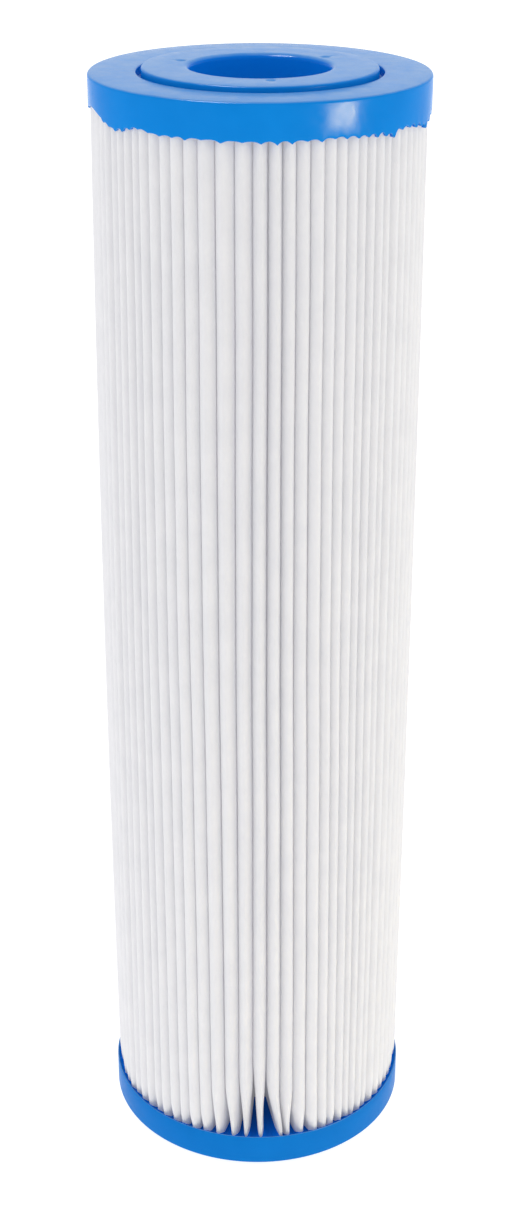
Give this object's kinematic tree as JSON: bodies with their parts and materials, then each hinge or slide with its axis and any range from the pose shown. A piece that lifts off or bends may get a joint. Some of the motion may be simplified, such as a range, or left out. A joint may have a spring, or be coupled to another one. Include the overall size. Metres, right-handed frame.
{
  "type": "filter cartridge",
  "caption": "Pleated cylindrical water filter cartridge with a through bore and soft moulded end caps that seal against flat seats.",
  "frame": {"origin": "on the cartridge's axis, at the face of the bottom sealing ring that it stands on", "axes": "+Z along the cartridge's axis, from the bottom cap to the top cap; +Y towards the media's glued seam"},
  "size_m": [0.0698, 0.0698, 0.2508],
  "materials": {
    "top_end_cap": "semi-gloss cast vinyl",
    "bottom_end_cap": "semi-gloss cast vinyl",
    "pleated_media": "non-woven polyester",
    "seam_bead": "hot-melt glue",
    "center_core": "moulded polypropylene"
  },
  "bodies": {
    "root": {"top_end_cap": "top_end_cap", "bottom_end_cap": "bottom_end_cap", "pleated_media": "pleated_media", "seam_bead": "seam_bead", "center_core": "center_core"}
  },
  "joints": []
}
